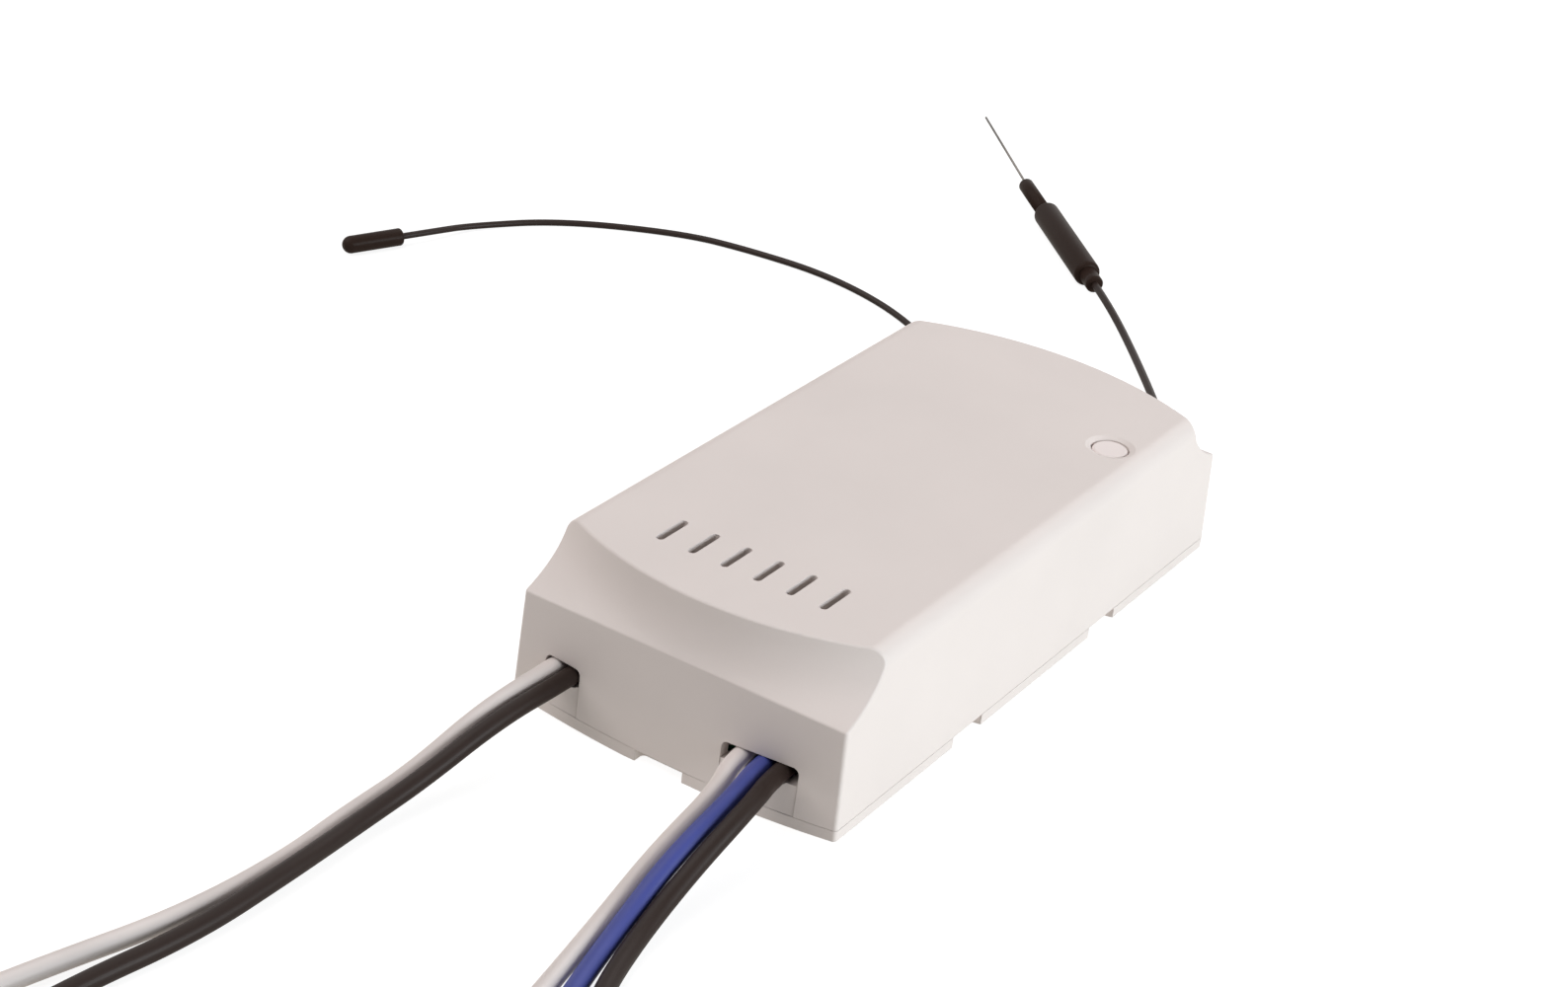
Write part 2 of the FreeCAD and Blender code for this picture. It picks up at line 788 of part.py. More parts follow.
def make_varistor():
    """Coated disc that stands on two legs."""
    x, y = front_left(varistor_margins)
    z = board_top + varistor_lift + varistor_diameter / 2
    start = V(x, y - varistor_thickness / 2, z)
    disc = Part.makeCylinder(varistor_diameter / 2, varistor_thickness, start, ALONG_Y)
    rims = [edge for edge in disc.Edges if edge.BoundBox.YLength < 0.01]
    disc = disc.makeFillet(varistor_thickness / 3, rims)
    for step in (-0.5, 0.5):
        place = (x + step * varistor_leg_pitch, y)
        leg = standing_cylinder(place, varistor_leg, varistor_lift + varistor_diameter / 2, board_top)
        disc = disc.fuse(leg)
    return disc


def make_choke_core():
    """Drum with a foot flange, a post and a top flange."""
    place = front_left(choke_margins)
    core = standing_cylinder(place, choke_diameter, choke_flange, board_top)
    core = core.fuse(standing_cylinder(place, choke_post, choke_height, board_top))
    top = board_top + choke_height - choke_flange
    return core.fuse(standing_cylinder(place, choke_diameter, choke_flange, top))


def make_choke_winding():
    place = front_left(choke_margins)
    height = choke_height - 2 * choke_flange
    z = board_top + choke_flange
    ring = standing_cylinder(place, choke_winding_diameter, height, z)
    return ring.cut(standing_cylinder(place, choke_post, height, z))


def make_fuse():
    body = standing_cylinder(front_left(fuse_margins), fuse_diameter, fuse_height, board_top)
    return round_top(body, part_round)


def make_buzzer():
    place = front_left(buzzer_margins)
    body = round_top(standing_cylinder(place, buzzer_diameter, buzzer_height, board_top), part_round)
    z = board_top + buzzer_height - buzzer_hole_depth
    return body.cut(standing_cylinder(place, buzzer_hole, buzzer_height, z))


def make_wifi_module():
    size = (module_side, module_side, module_thickness)
    return standing_box(back_right(module_margins), size, board_top)


def make_wifi_shield():
    box = standing_box(back_right(shield_margins), shield_size, board_top + module_thickness)
    return round_top(round_uprights(box, part_round), part_round / 2)


def make_coax_plug():
    place = (coax_x, coax_end_y - plug_side / 2)
    return standing_box(place, (plug_side, plug_side, plug_thickness), board_top + module_thickness)


def make_radio_board():
    size = (radio_thickness, radio_length, radio_height)
    return standing_box(back_left(radio_margins), size, board_top)


def make_radio_crystal():
    """Crystal can flat against the standing radio board."""
    x, y = back_left(radio_margins)
    x -= (radio_thickness + crystal_size[0]) / 2
    return standing_box((x, y), crystal_size, board_top + crystal_lift)


def make_lead_tabs():
    """Five solder tabs, each against the inner end of its lead."""
    y = lead_end_y + tab_thickness / 2
    tabs = []
    for x, z in zip(supply_xs + load_xs, supply_zs + load_zs):
        size = (tab_width, tab_thickness, z + tab_proud - board_top)
        tabs.append(standing_box((x, y), size, board_top))
    return Part.makeCompound(tabs)


def make_whip_tab():
    size = (tab_width, tab_thickness, antenna_z + tab_proud - board_top)
    return standing_box((whip_x, whip_end_y - tab_thickness / 2), size, board_top)


def rounded_path(points):
    """Straight runs joined by tangent arcs, and the arcs' radii.

    Each arc takes arc_share of the shorter run beside its corner, so its radius
    is that length divided by the tangent of half the turn.
    """
    corners = [V(*point) for point in points]
    edges = []
    radii = []
    start = corners[0]
    for before, corner, after in zip(corners, corners[1:], corners[2:]):
        back = before - corner
        ahead = after - corner
        cut = arc_share * min(back.Length, ahead.Length)
        turn = math.pi - back.getAngle(ahead)
        back.normalize()
        ahead.normalize()
        radius = cut / math.tan(turn / 2)
        enter = corner + back * cut
        leave = corner + ahead * cut
        bisector = back + ahead
        bisector.normalize()
        depth = radius / math.cos(turn / 2) - radius
        edges.append(Part.LineSegment(start, enter).toShape())
        edges.append(Part.Arc(enter, corner + bisector * depth, leave).toShape())
        radii.append(radius)
        start = leave
    edges.append(Part.LineSegment(start, corners[-1]).toShape())
    return Part.Wire(edges), radii


def make_tube(name, diameter):
    """Round tube along a route. Prints its length, radii and volume check."""
    points = routes[name]
    path, radii = rounded_path(points)
    first = V(*points[0])
    circle = Part.Wire([Part.makeCircle(diameter / 2, first, V(*points[1]) - first)])
    solid = path.makePipeShell([circle], True, False)
    share = solid.Volume / (math.pi * diameter ** 2 / 4 * path.Length)
    outside = path.Length - (half_length - abs(points[0][1]))
    print(name, "length", round(path.Length, 1), "outside the case", round(outside, 1),
          "radii", [round(radius, 1) for radius in radii], "volume ratio", round(share, 5))
    return solid


def end_of(name):
    """A route's last point and its direction there."""
    last = V(*routes[name][-1])
    heading = last - V(*routes[name][-2])
    heading.normalize()
    return last, heading


def make_tip(name):
    """Bare tinned strands that stand out of a lead's end."""
    last, heading = end_of(name)
    return Part.makeCylinder(tip_diameter / 2, tip_length, last, heading)


def rims_at(solid, centre):
    """Round edges of a turned solid that circle a point on its axis."""
    near = 0.01
    return [edge for edge in solid.Edges if edge.CenterOfMass.distanceToPoint(centre) < near]


def make_whip_cap():
    """Cap moulded on the whip's end, round at its far end."""
    last, heading = end_of("whip_wire")
    cap = Part.makeCylinder(whip_cap_diameter / 2, whip_cap_length, last, heading)
    return cap.makeFillet(whip_cap_round, rims_at(cap, last + heading * whip_cap_length))


def stub_axis(start):
    """Point at a distance along the Wi-Fi antenna's rigid end, and its heading."""
    last, heading = end_of("wifi_coax")
    return last + heading * start, heading


def make_wifi_ferrule():
    start, heading = stub_axis(0)
    ferrule = Part.makeCylinder(ferrule_diameter / 2, ferrule_length, start, heading)
    return ferrule.makeFillet(ferrule_round, rims_at(ferrule, start))


def make_wifi_sleeve():
    """Shrink sleeve with a rounded shoulder at each end."""
    start, heading = stub_axis(ferrule_length)
    sleeve = Part.makeCylinder(sleeve_diameter / 2, sleeve_length, start, heading)
    return sleeve.makeFillet(sleeve_shoulder, [edge for edge in sleeve.Edges if edge.Closed])


def make_wifi_neck():
    start, heading = stub_axis(ferrule_length + sleeve_length)
    neck = Part.makeCylinder(neck_diameter / 2, neck_length, start, heading)
    bore_start, heading = stub_axis(ferrule_length + sleeve_length + neck_length - element_seat)
    return neck.cut(Part.makeCylinder(neck_bore / 2, element_seat + 1, bore_start, heading))


def make_wifi_element():
    """Bare wire that stands straight out of the neck's bore."""
    start, heading = stub_axis(ferrule_length + sleeve_length + neck_length - element_seat + element_gap)
    return Part.makeCylinder(element_diameter / 2, element_length, start, heading)


def build():
    nodes = {
        "cover": make_cover(),
        "base": make_base(),
        "button_cap": make_button_cap(),
        "switch_plunger": make_switch_plunger(),
        "switch_body": make_switch_body(),
        "switch_dome": make_switch_dome(),
        "main_board": make_main_board(),
        "board_screws": make_board_screws(),
        "line_capacitor": make_boxed(front_left(line_capacitor_margins), line_capacitor_size),
        "transformer_core": make_transformer_core(),
        "transformer_winding": make_transformer_winding(),
        "bulk_capacitor": make_can(front_left(bulk_margins), bulk_diameter, bulk_height),
        "output_capacitor": make_can(front_left(output_margins), output_diameter, output_height),
        "fuse": make_fuse(),
        "varistor": make_varistor(),
        "bridge_rectifier": make_boxed(front_left(bridge_margins), bridge_size),
        "choke_core": make_choke_core(),
        "choke_winding": make_choke_winding(),
        "driver_chip": make_boxed(front_left(driver_margins), driver_size),
        "buzzer": make_buzzer(),
        "wifi_module": make_wifi_module(),
        "wifi_shield": make_wifi_shield(),
        "coax_plug": make_coax_plug(),
        "radio_board": make_radio_board(),
        "radio_crystal": make_radio_crystal(),
        "lead_tabs": make_lead_tabs(),
        "whip_tab": make_whip_tab(),
        "whip_wire": make_tube("whip_wire", whip_diameter),
        "whip_cap": make_whip_cap(),
        "wifi_coax": make_tube("wifi_coax", coax_diameter),
        "wifi_ferrule": make_wifi_ferrule(),
        "wifi_sleeve": make_wifi_sleeve(),
        "wifi_neck": make_wifi_neck(),
        "wifi_element": make_wifi_element(),
    }
    for column in range(2):
        for row in range(2):
            nodes["relay_%d" % (2 * column + row + 1)] = make_relay(column, row)
    for i in range(2):
        nodes["speed_capacitor_%d" % (i + 1)] = make_speed_capacitor(i)
    for lead in ("neutral_lead", "line_lead", "load_neutral_lead", "light_lead", "fan_lead"):
        nodes[lead] = make_tube(lead, lead_diameter)
        nodes[lead + "_tip"] = make_tip(lead)
    return nodes


os.makedirs("parts", exist_ok=True)
for node, shape in build().items():
    if not shape.isValid():
        print("not valid:", node)
    shape.exportStep("parts/%s.step" % node)
    print(node, "solids", len(shape.Solids), "volume", round(shape.Volume, 2))
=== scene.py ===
import math

import bmesh
import bpy
import numpy as np
from bpy.props import FloatProperty, FloatVectorProperty, PointerProperty
from mathutils import Matrix, Vector


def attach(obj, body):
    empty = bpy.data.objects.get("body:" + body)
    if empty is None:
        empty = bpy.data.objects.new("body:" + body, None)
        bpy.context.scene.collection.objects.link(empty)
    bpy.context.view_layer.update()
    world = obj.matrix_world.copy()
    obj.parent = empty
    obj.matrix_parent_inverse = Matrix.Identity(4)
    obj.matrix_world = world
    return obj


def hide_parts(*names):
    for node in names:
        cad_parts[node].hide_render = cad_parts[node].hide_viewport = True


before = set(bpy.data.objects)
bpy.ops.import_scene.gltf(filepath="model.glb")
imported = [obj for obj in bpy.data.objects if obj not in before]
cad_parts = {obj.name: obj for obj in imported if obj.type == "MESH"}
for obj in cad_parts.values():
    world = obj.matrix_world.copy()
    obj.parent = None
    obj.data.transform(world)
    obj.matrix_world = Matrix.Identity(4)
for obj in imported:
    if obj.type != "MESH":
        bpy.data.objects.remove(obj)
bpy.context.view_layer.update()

bl_info = {
    "name": "Ceiling fan controller",
    "version": (1, 0, 0),
    "blender": (4, 5, 0),
    "location": "View3D > Sidebar > Fan controller",
    "description": "Dresses the solids of a ceiling fan controller and sets up its studio",
    "category": "Object",
}

# The solids' box, and the body that every new piece rides on
BODY = "case"

# Widths of the cords and of the pieces at their ends
LEAD_WIDTH = 0.0029
WHIP_WIDTH = 0.0013
COAX_WIDTH = 0.0015
CAP_WIDTH = 0.0035
FERRULE_WIDTH = 0.0036
SLEEVE_WIDTH = 0.0054
NECK_WIDTH = 0.0032
NECK_BORE = 0.0012
ELEMENT_WIDTH = 0.0005

# Heights of the cords' middles: where they lie on the floor, with a hair's
# room under them, and where the antennas leave the case
LIFT = 0.00005
LEAD_FLOOR = LEAD_WIDTH / 2 + LIFT
WHIP_FLOOR = WHIP_WIDTH / 2 + LIFT
CAP_FLOOR = CAP_WIDTH / 2 + LIFT
COAX_FLOOR = COAX_WIDTH / 2 + LIFT
SLEEVE_FLOOR = SLEEVE_WIDTH / 2 + LIFT
ANTENNA_HEIGHT = 0.008183

# The leads' stripped ends: the bare length, what of the strands is inside the
# insulation, by how much their ends differ, and the radians from one strand to
# the next in the sine that says how much of that each one gets
STRIP_LENGTH = 0.008
INSIDE_STRIP = 0.0012
STRIP_UNEVEN = 0.00035
STRIP_TURN = 2.4

# The bundle's rings: how many strands, and the ring's radius in strand widths
STRAND_RINGS = ((1, 0.0), (6, 0.97), (12, 1.88))

# Lengths of the antennas' end pieces and the radii of their edges. They follow
# the photograph, and differ a little from the solids'. The cap's round end is
# cut flat at the share CAP_DOME of its radius.
CAP_LENGTH = 0.0126
CAP_ROUND = 0.0005
CAP_DOME = 0.95
FERRULE_LENGTH = 0.0048
FERRULE_ROUND = 0.0004
SLEEVE_LENGTH = 0.0312
SLEEVE_ROUND = 0.001
NECK_LENGTH = 0.0148
NECK_ROUND = 0.0002
BORE_ROUND = 0.00015
ELEMENT_LENGTH = 0.045
ELEMENT_ROUND = 0.0001

# How the Wi-Fi antenna's pieces meet: the neck beside the sleeve's axis and
# its start inside the sleeve, the bore's depth, the wire's distance from the
# bore's floor, and the degrees that the wire turns off
NECK_SHIFT = -0.00017
NECK_OVERLAP = 0.0002
SEAT_DEPTH = 0.006
SEAT_ROOM = 0.0001
ELEMENT_TURN = -1.9

# Jackets: the distance between their rings, the rounding of their ends as a
# share of the width and at most, the share by which the radius swells, and the
# slow waves of that, each with its weight, its radians per metre and its start
RING_STEP = 0.0008
END_SHARE = 0.12
END_ROUND = 0.0002
LEAD_SWELL = 0.006
ANTENNA_SWELL = 0.004
SWELLS = ((0.6, 210.0, 0.0), (0.4, 487.0, 1.3))

# How finely round pieces are made: sides of each, and a strand's rings
LEAD_SIDES = 32
ANTENNA_SIDES = 24
TURNED_SIDES = 48
ELEMENT_SIDES = 20
STRAND_SIDES = 8
STRAND_STEPS = 34

# The photograph's viewpoint
CAMERA_PLACE = (0.19075, -0.35777, 0.23994)
CAMERA_FORWARD = (-0.4471, 0.75839, -0.47428)
CAMERA_RIGHT = (0.82786, 0.55163, 0.10165)
CAMERA_UP = (-0.33872, 0.3472, 0.87449)
SENSOR_WIDTH = 36.0

# Lamps: azimuth and elevation in degrees, and the side of the square
LAMPS = {"key": (90, 12, 0.8), "fill": (-60, 55, 1.5), "back": (180, 40, 0.8)}
LAMP_DISTANCE = 1.25

# The floor: the share of the lamps' light that it sends back to the object, the
# share that cameras see, and the strength of its own light that they see at two
# distances from the middle
LIT_FLOOR = 0.4
SEEN_FLOOR = 0.3
SEEN_GLOW = (0.87, 1.0)
SEEN_GLOW_AT = (0.4, 1.1)

# Control points of the cords' splines, from inside the case to the jackets' ends
ROUTES = {
    "neutral_lead": [
        (-0.0217, -0.049, 0.009334), (-0.0217, -0.0585, 0.009334),
        (-0.02267, -0.07269, 0.0086), (-0.02498, -0.08606, 0.0031),
        (-0.02646, -0.09746, LEAD_FLOOR), (-0.02561, -0.11235, LEAD_FLOOR),
        (-0.02752, -0.13022, LEAD_FLOOR), (-0.03267, -0.14758, LEAD_FLOOR),
        (-0.03712, -0.16494, LEAD_FLOOR), (-0.03809, -0.18179, LEAD_FLOOR),
    ],
    "line_lead": [
        (-0.0186, -0.049, 0.009041), (-0.0186, -0.0585, 0.009041),
        (-0.01974, -0.07319, 0.0086), (-0.02214, -0.08656, 0.0041),
        (-0.02348, -0.09796, 0.0022), (-0.02287, -0.11285, 0.0025),
        (-0.02365, -0.13071, 0.0016), (-0.02721, -0.14856, LEAD_FLOOR),
        (-0.02868, -0.16592, LEAD_FLOOR), (-0.02618, -0.18276, LEAD_FLOOR),
    ],
    "load_neutral_lead": [
        (0.01121, -0.049, 0.008527), (0.01121, -0.059, 0.008527),
        (0.0142, -0.067, 0.0086), (0.01375, -0.08009, 0.0051),
        (0.0144, -0.09247, LEAD_FLOOR), (0.01729, -0.10785, LEAD_FLOOR),
        (0.02052, -0.1257, LEAD_FLOOR), (0.02192, -0.14454, LEAD_FLOOR),
        (0.01895, -0.16288, LEAD_FLOOR), (0.014, -0.18053, LEAD_FLOOR),
    ],
    "light_lead": [
        (0.01521, -0.049, 0.008773), (0.01521, -0.059, 0.008773),
        (0.0174, -0.067, 0.0097), (0.0169, -0.081, 0.0062),
        (0.01753, -0.09297, 0.0022), (0.02041, -0.10685, LEAD_FLOOR),
        (0.02509, -0.12372, LEAD_FLOOR), (0.02941, -0.14255, LEAD_FLOOR),
        (0.03006, -0.16188, LEAD_FLOOR), (0.02739, -0.18041, LEAD_FLOOR),
    ],
    "fan_lead": [
        (0.01831, -0.049, 0.009016), (0.01831, -0.059, 0.009016),
        (0.0207, -0.068, 0.0102), (0.02, -0.08058, 0.0057),
        (0.02046, -0.09296, 0.0019), (0.02399, -0.10685, 0.0016),
        (0.03084, -0.12222, LEAD_FLOOR), (0.03829, -0.13957, LEAD_FLOOR),
        (0.04276, -0.1584, LEAD_FLOOR), (0.04375, -0.17722, LEAD_FLOOR),
    ],
    "whip_wire": [
        (-0.018, 0.049, ANTENNA_HEIGHT), (-0.018, 0.06, ANTENNA_HEIGHT),
        (-0.0203, 0.0725, 0.0044), (-0.0278, 0.0826, WHIP_FLOOR),
        (-0.04433, 0.09276, WHIP_FLOOR), (-0.06051, 0.10282, WHIP_FLOOR),
        (-0.07929, 0.10727, WHIP_FLOOR), (-0.09724, 0.10573, WHIP_FLOOR),
        (-0.11138, 0.10258, WHIP_FLOOR), (-0.13268, 0.08931, WHIP_FLOOR),
        (-0.14376, 0.07366, WHIP_FLOOR), (-0.14527, 0.06463, CAP_FLOOR),
        (-0.14819, 0.05766, CAP_FLOOR),
    ],
    "wifi_coax": [
        (0.017, 0.0505, ANTENNA_HEIGHT), (0.017, 0.061, ANTENNA_HEIGHT),
        (0.0155, 0.0735, 0.0046), (0.011, 0.0865, COAX_FLOOR),
        (0.00123, 0.09781, COAX_FLOOR), (-0.00898, 0.11101, COAX_FLOOR),
        (-0.02228, 0.12714, COAX_FLOOR), (-0.03035, 0.13415, SLEEVE_FLOOR),
        (-0.03589, 0.13964, SLEEVE_FLOOR),
    ],
}

# Insulation of each lead
LEAD_COLOURS = {
    "neutral_lead": "white", "line_lead": "black", "load_neutral_lead": "white",
    "light_lead": "blue", "fan_lead": "black",
}

# Colour of the circuit boards' tinned pads
TIN = (0.62, 0.6, 0.56)


def colour_prop(name, words, default):
    return FloatVectorProperty(
        name=name, description=words, subtype="COLOR", size=3, min=0.0, max=1.0, default=default)


def length_prop(name, words, default):
    return FloatProperty(
        name=name, description=words, unit="LENGTH", min=0.0, precision=5, default=default)


def power_prop(name, words, default):
    return FloatProperty(name=name, description=words, unit="POWER", default=default)


class CaseLooks(bpy.types.PropertyGroup):
    shell: colour_prop("Shell", "Colour of the moulded shells", (0.731, 0.668, 0.641))
    button: colour_prop("Button", "Colour of the button", (0.82, 0.743, 0.724))
    grain: length_prop("Grain", "Width of one grain of the moulded texture", 0.00035)
    grain_depth: length_prop("Grain depth", "Depth of the moulded texture", 0.000012)


class LeadLooks(bpy.types.PropertyGroup):
    white: colour_prop("White", "Insulation of the neutral leads", (0.73, 0.672, 0.65))
    black: colour_prop("Black", "Insulation of the line and fan leads", (0.023, 0.0145, 0.012))
    blue: colour_prop("Blue", "Insulation of the light's lead", (0.056, 0.071, 0.28))
    strand_width: length_prop("Strand width", "Width of one tinned strand", 0.00027)
    strand_pitch: length_prop("Strand pitch", "Length in which the strands turn once", 0.016)


class AntennaLooks(bpy.types.PropertyGroup):
    jacket: colour_prop("Jacket", "Colour of the antennas' plastic", (0.023, 0.0145, 0.012))
    moulding: colour_prop(
        "Moulding", "Colour of the antennas' caps and sleeves", (0.026, 0.0155, 0.012))
    element: colour_prop("Element", "Colour of the bare wire", (0.14, 0.13, 0.12))


class BoardLooks(bpy.types.PropertyGroup):
    mask: colour_prop("Solder mask", "Colour of the main board", (0.02, 0.13, 0.06))
    relay: colour_prop("Relays", "Colour of the relays", (0.03, 0.07, 0.20))


class StudioLooks(bpy.types.PropertyGroup):
    lens: FloatProperty(
        name="Lens", description="Camera's focal length", unit="CAMERA", default=67.344)
    key: power_prop("Key", "Power of the lamp at the right", 18.7)
    fill: power_prop("Fill", "Power of the lamp at the left", 15.5)
    back: power_prop("Back", "Power of the lamp behind", 3.4)
    glow: FloatProperty(
        name="Glow", description="Strength of the light from the floor", default=0.419)
    cool: colour_prop("Key's colour", "Colour of the lamp at the right", (0.909, 0.969, 1.0))
    warm: colour_prop("Fill's colour", "Colour of the other lamps", (1.0, 0.956, 0.941))
    bounce: colour_prop("Glow's colour", "Colour of the light from the floor", (1.0, 0.969, 0.887))
    floor: length_prop("Floor", "Side of the floor", 6.0)


GROUPS = {
    "fan_case": CaseLooks, "fan_leads": LeadLooks, "fan_antennas": AntennaLooks,
    "fan_board": BoardLooks, "fan_studio": StudioLooks,
}


# Surfaces

def frames_along(points):
    """Unit directions along, beside and above a line of points.

    Along is the central difference of the points. Beside is along crossed with
    straight up, which is safe because no cord here climbs steeply. Above is
    beside crossed with along.
    """
    along = np.gradient(points, axis=0)
    along /= np.linalg.norm(along, axis=1)[:, None]
    beside = np.cross(along, (0.0, 0.0, 1.0))
    beside /= np.linalg.norm(beside, axis=1)[:, None]
    return along, beside, np.cross(beside, along)


def length_along(points):
    """Distance of each point from the first, the steps between points added up."""
    steps = np.linalg.norm(np.diff(points, axis=0), axis=1)
    return np.concatenate([[0.0], np.cumsum(steps)])


def at_lengths(length, values, wanted):
    """Rows of values at the wanted lengths, straight between the given ones."""
    return np.stack([np.interp(wanted, length, column) for column in values.T], -1)


def ring_grid(centres, beside, above, radii, sides):
    """Grid of points: at each station a circle of its radius about its centre.

    Beside and above are one direction for all stations, or one for each.
    """
    angle = np.linspace(0.0, 2 * math.pi, sides, endpoint=False)[None, :, None]
    around = (np.cos(angle) * np.atleast_2d(beside)[:, None, :]
              + np.sin(angle) * np.atleast_2d(above)[:, None, :])
    return centres[:, None, :] + np.asarray(radii)[:, None, None] * around


def object_from_grids(name, grids):
    """Object made of closed grids, given as pairs of a grid and its rows' lengths.

    Rows run along a shape and columns round it. Quads join each row to the
    next, and the last column joins the first. The UV map holds the share of
    the way round and the length along, in metres. A row of no width is merged
    into a pole.
    """
    verts, faces, uvs = [], [], []
    start = 0
    for grid, along in grids:
        rows, sides = grid.shape[:2]
        i, j = np.meshgrid(np.arange(rows - 1), np.arange(sides), indexing="ij")
        k = (j + 1) % sides
        quads = np.stack(
            [i * sides + j, (i + 1) * sides + j, (i + 1) * sides + k, i * sides + k], -1)
        faces.append(quads.reshape(-1, 4) + start)
        u0, u1, v0, v1 = j / sides, (j + 1) / sides, along[i], along[i + 1]
        uvs.append(np.stack([u0, v0, u0, v1, u1, v1, u1, v0], -1).reshape(-1, 2))
        verts.append(grid.reshape(-1, 3))
        start += rows * sides
    mesh = bpy.data.meshes.new(name)
    mesh.from_pydata(np.concatenate(verts).tolist(), [], np.concatenate(faces).tolist())
    layer = mesh.uv_layers.new(name="along")
    layer.data.foreach_set("uv", np.concatenate(uvs).astype(np.float32).ravel())
    work = bmesh.new()
    work.from_mesh(mesh)
    bmesh.ops.remove_doubles(work, verts=work.verts, dist=1e-8)
    work.to_mesh(mesh)
    work.free()
    mesh.shade_smooth()
    obj = bpy.data.objects.new(name, mesh)
    bpy.context.scene.collection.objects.link(obj)
    return obj


def sides_of(heading):
    """Unit directions beside and above a heading, found as frames_along does."""
    beside = np.cross(heading, (0.0, 0.0, 1.0))
    beside /= np.linalg.norm(beside)
    return beside, np.cross(beside, heading)


def turned_grid(start, heading, profile, sides=TURNED_SIDES):
    """Grid of a solid of revolution. The profile gives distance along and radius."""
    profile = np.asarray(profile, float)
    heading = np.asarray(heading, float) / np.linalg.norm(heading)
    beside, above = sides_of(heading)
    centres = np.asarray(start, float) + profile[:, :1] * heading
    return ring_grid(centres, beside, above, profile[:, 1], sides), length_along(profile)


def arc(along, radius, bend, first, last, count=9):
    """Profile points of a circular arc of radius bend about the given centre.

    Its angles in degrees start from the axis' direction.
    """
    angle = np.radians(np.linspace(first, last, count))
    return list(zip(along + bend * np.cos(angle), radius + bend * np.sin(angle)))


def spline_points(name, route, detail=12):
    """Points of the smooth spline whose control points are the route's."""
    curve = bpy.data.curves.new(name + "_line", "CURVE")
    curve.dimensions = "3D"
    curve.resolution_u = detail
    spline = curve.splines.new("NURBS")
    spline.points.add(len(route) - 1)
    for point, place in zip(spline.points, route):
        point.co = (*place, 1.0)
    spline.order_u = 3
    spline.use_endpoint_u = True
    holder = bpy.data.objects.new(name + "_line", curve)
    line = bpy.data.meshes.new_from_object(holder)
    points = np.empty(len(line.vertices) * 3)
    line.vertices.foreach_get("co", points)
    bpy.data.objects.remove(holder)
    bpy.data.curves.remove(curve)
    bpy.data.meshes.remove(line)
    return points.reshape(-1, 3)


def jacket_grid(points, width, sides, swell):
    """Grid of an extruded jacket along a line of points, closed at both ends.

    The radius swells by the share swell, as two slow sines of the length. Each
    end turns in over a quarter circle to a flat face.
    """
    length = length_along(points)
    total = length[-1]
    edge = min(width * END_SHARE, END_ROUND)
    turn = np.radians(np.linspace(0, 90, 6))
    head = np.concatenate([[0.0], edge * (1 - np.cos(turn))])
    body = np.linspace(edge, total - edge, int(total / RING_STEP))[1:-1]
    stations = np.concatenate([head, body, total - head[::-1]])
    inset = np.concatenate([[0.0], edge * (1 - np.sin(turn))])
    drawn_in = np.concatenate([inset, np.zeros(len(body)), inset[::-1]])
    waves = sum(weight * np.sin(stations * rate + start) for weight, rate, start in SWELLS)
    radii = width / 2 * (1 + swell * waves) - drawn_in
    radii[[0, -1]] = 0.0
    centres, beside, above = (
        at_lengths(length, values, stations) for values in (points, *frames_along(points)[1:]))
    return ring_grid(centres, beside, above, radii, sides), stations


def make_cord(name, width, swell, sides):
    """Jacket along a route's spline, riding on the case's body in place of the solid of its name.

    It leaves the case where its first, straight run passes the end face.
    """
    points = spline_points(name, ROUTES[name])
    piece = object_from_grids(name + "_jacket", [jacket_grid(points, width, sides, swell)])
    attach(piece, BODY)
    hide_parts(name)
    return piece


def end_of(name):
    """A route's last point and its direction there."""
    last = np.array(ROUTES[name][-1])
    heading = last - np.array(ROUTES[name][-2])
    return last, heading / np.linalg.norm(heading)


def make_strands(name, looks):
    """Twisted bundle of tinned strands at a lead's end.

    One strand runs down the middle, six lie round it and twelve round those.
    Each is a helix about the axis, all turning at the same rate, and a few end
    a little short.
    """
    start, heading = end_of(name)
    beside, above = sides_of(heading)
    width = looks.strand_width
    grids = []
    for count, reach in STRAND_RINGS:
        for n in range(count):
            short = 0.5 + 0.5 * math.sin(n * STRIP_TURN + count)
            end = STRIP_LENGTH - STRIP_UNEVEN * short
            steps = np.linspace(-INSIDE_STRIP, end, STRAND_STEPS)
            along = np.concatenate([[-INSIDE_STRIP], steps, [end]])
            angle = 2 * math.pi * (n / count + along[:, None] / looks.strand_pitch)
            centres = (start + along[:, None] * heading
                       + reach * width * np.cos(angle) * beside
                       + reach * width * np.sin(angle) * above)
            radii = np.full(len(along), width / 2)
            radii[[0, -1]] = 0.0
            strand = ring_grid(centres, beside, above, radii, STRAND_SIDES)
            grids.append((strand, along + INSIDE_STRIP))
    piece = object_from_grids(name + "_strands", grids)
    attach(piece, BODY)
    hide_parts(name + "_tip")
    return piece


# Materials

